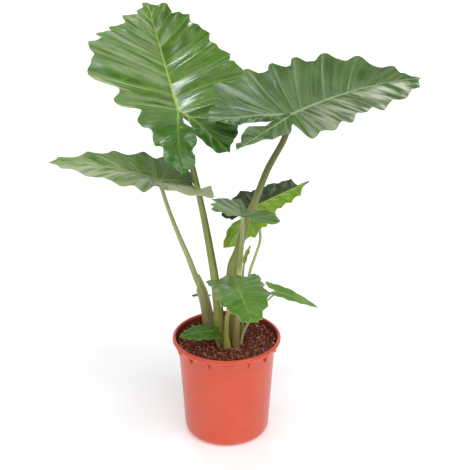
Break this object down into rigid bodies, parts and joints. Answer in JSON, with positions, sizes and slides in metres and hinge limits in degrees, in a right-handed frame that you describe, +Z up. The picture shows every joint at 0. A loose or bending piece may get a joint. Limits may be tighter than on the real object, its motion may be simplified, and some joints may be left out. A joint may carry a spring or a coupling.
{
  "type": "potted alocasia plant",
  "caption": "Alocasia with large scalloped arrow-shaped leaves on long stalks, standing in peat in a round plastic nursery pot with a rolled rim.",
  "frame": {"origin": "centre of the pot's flat base, where it rests", "axes": "+Z up, the picture's viewer on the -Y side and +X to the viewer's right"},
  "size_m": [0.789, 0.618, 0.9418],
  "materials": {
    "pot_plastic": "smooth moulded terracotta-coloured plastic",
    "peat_soil": "loose damp peat with pale flecks",
    "leaf": "glossy living leaf with paler raised veins",
    "young_leaf": "thin young leaf, yellow green, lit through",
    "stalk": "smooth fleshy stalk, pale green to olive brown at the base"
  },
  "bodies": {
    "root": {"pot": "pot_plastic", "soil": "peat_soil", "blade_back": "young_leaf", "stalk_back": "stalk", "blade_front": "leaf", "stalk_front": "stalk", "blade_left": "leaf", "stalk_left": "stalk", "blade_low": "leaf", "stalk_low": "stalk", "blade_middle": "leaf", "stalk_middle": "stalk", "blade_right": "leaf", "stalk_right": "stalk", "blade_small": "leaf", "stalk_small": "stalk", "blade_upper_left": "leaf", "stalk_upper_left": "stalk", "blade_upper_right": "leaf", "stalk_upper_right": "stalk", "blade_young": "young_leaf", "stalk_young": "stalk"}
  },
  "joints": []
}
